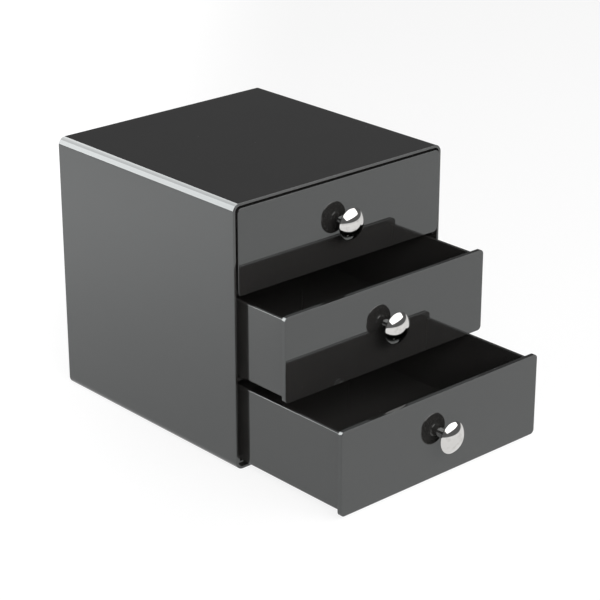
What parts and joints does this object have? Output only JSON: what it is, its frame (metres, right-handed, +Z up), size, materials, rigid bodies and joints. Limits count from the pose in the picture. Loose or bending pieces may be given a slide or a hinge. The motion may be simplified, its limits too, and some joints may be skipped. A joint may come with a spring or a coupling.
{
  "type": "nail polish organizer drawers",
  "caption": "Cube-shaped tabletop organizer in glossy black plastic with stacked drawers that slide out on runners, each pulled by a round chrome knob.",
  "frame": {"origin": "centre of the flat underside of the case, on the surface the organizer stands on", "axes": "+Z up, the drawers open towards -Y, +X to the right for someone who faces the drawers"},
  "size_m": [0.165, 0.264, 0.1651],
  "materials": {
    "case_black": "glossy black moulded polystyrene, outer case",
    "shelf_black": "glossy black moulded polystyrene, divider shelves",
    "tray_black": "glossy black moulded polystyrene, drawer trays",
    "front_black": "polished glossy black polystyrene, drawer fronts",
    "knob_chrome": "bright chrome plate",
    "screw_steel": "zinc-plated steel"
  },
  "bodies": {
    "case": {"case_shell": "case_black", "back_panel": "case_black", "shelf_lower": "shelf_black", "shelf_upper": "shelf_black"},
    "drawer_bottom": {"tray_bottom": "tray_black", "front_bottom": "front_black", "knob_bottom": "knob_chrome", "knob_screw_bottom": "screw_steel", "knob_washer_bottom": "screw_steel"},
    "drawer_middle": {"tray_middle": "tray_black", "front_middle": "front_black", "knob_middle": "knob_chrome", "knob_screw_middle": "screw_steel", "knob_washer_middle": "screw_steel"},
    "drawer_top": {"tray_top": "tray_black", "front_top": "front_black", "knob_top": "knob_chrome", "knob_screw_top": "screw_steel", "knob_washer_top": "screw_steel"}
  },
  "joints": [
    {"name": "slide_bottom", "type": "slide", "parent": "case", "child": "drawer_bottom", "axis": [0, -1, 0], "range_m": [-0.0855, 0.0295]},
    {"name": "slide_middle", "type": "slide", "parent": "case", "child": "drawer_middle", "axis": [0, -1, 0], "range_m": [-0.0392, 0.0758]},
    {"name": "slide_top", "type": "slide", "parent": "case", "child": "drawer_top", "axis": [0, -1, 0], "range_m": [0, 0.115]}
  ]
}
